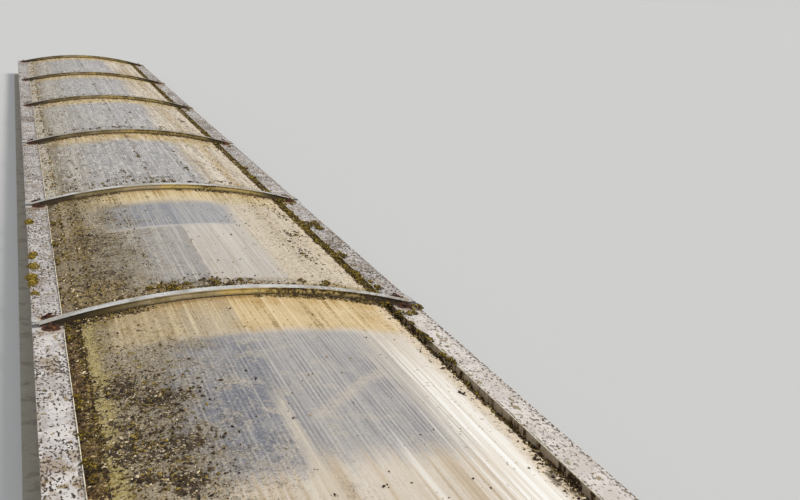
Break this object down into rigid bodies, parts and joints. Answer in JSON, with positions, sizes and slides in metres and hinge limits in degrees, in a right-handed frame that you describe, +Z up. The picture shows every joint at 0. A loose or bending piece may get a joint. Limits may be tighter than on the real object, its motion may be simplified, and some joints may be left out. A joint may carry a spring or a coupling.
{
  "type": "roof skylight",
  "caption": "Long barrel-vault roof skylight: curved hollow-web sheets under arched cap bars, on mitred gutter rails and a folded kerb.",
  "frame": {"origin": "middle of the kerb's underside, half-way along and across the rooflight", "axes": "+Y along the rooflight to its far end, +X across it to its right-hand side, +Z up from the roof"},
  "size_m": [1.786, 13.178, 0.3198],
  "materials": {
    "kerb_steel": "galvanised, weathered",
    "rail_aluminium": "mill finish, weathered",
    "cap_aluminium": "mill finish, weathered and mossy",
    "support_aluminium": "mill finish",
    "foot_aluminium": "mill finish, weathered",
    "glazing_plastic": "clear, aged and stained",
    "gable_plastic": "translucent, aged",
    "gasket_rubber": "matt",
    "rusty_steel": "rusted"
  },
  "bodies": {
    "root": {"kerb_far_end": "kerb_steel", "kerb_near_end": "kerb_steel", "kerb_right_1": "kerb_steel", "kerb_right_2": "kerb_steel", "kerb_right_3": "kerb_steel", "kerb_right_4": "kerb_steel", "kerb_right_5": "kerb_steel", "kerb_right_6": "kerb_steel", "kerb_right_7": "kerb_steel", "kerb_left_1": "kerb_steel", "kerb_left_2": "kerb_steel", "kerb_left_3": "kerb_steel", "kerb_left_4": "kerb_steel", "kerb_left_5": "kerb_steel", "kerb_left_6": "kerb_steel", "kerb_left_7": "kerb_steel", "rail_far_end": "rail_aluminium", "rail_near_end": "rail_aluminium", "rail_right_1": "rail_aluminium", "rail_right_2": "rail_aluminium", "rail_right_3": "rail_aluminium", "rail_right_4": "rail_aluminium", "rail_right_5": "rail_aluminium", "rail_right_6": "rail_aluminium", "rail_left_1": "rail_aluminium", "rail_left_2": "rail_aluminium", "rail_left_3": "rail_aluminium", "rail_left_4": "rail_aluminium", "rail_left_5": "rail_aluminium", "rail_left_6": "rail_aluminium", "gable_panel_far": "gable_plastic", "gable_panel_near": "gable_plastic", "sheet_end_closers": "rail_aluminium", "glazing_sheet_1": "glazing_plastic", "glazing_sheet_2": "glazing_plastic", "glazing_sheet_3": "glazing_plastic", "glazing_sheet_4": "glazing_plastic", "glazing_sheet_5": "glazing_plastic", "glazing_sheet_6": "glazing_plastic", "arch_support_1": "support_aluminium", "arch_cap_1": "cap_aluminium", "arch_support_2": "support_aluminium", "arch_cap_2": "cap_aluminium", "arch_support_3": "support_aluminium", "arch_cap_3": "cap_aluminium", "arch_support_4": "support_aluminium", "arch_cap_4": "cap_aluminium", "arch_support_5": "support_aluminium", "arch_cap_5": "cap_aluminium", "arch_support_6": "support_aluminium", "arch_cap_6": "cap_aluminium", "arch_support_7": "support_aluminium", "arch_cap_7": "cap_aluminium", "foot_plates_right": "foot_aluminium", "foot_plates_left": "foot_aluminium", "edge_gaskets": "gasket_rubber", "cap_gaskets": "gasket_rubber", "washer_plates": "rusty_steel", "foot_bolts": "rusty_steel"}
  },
  "joints": []
}
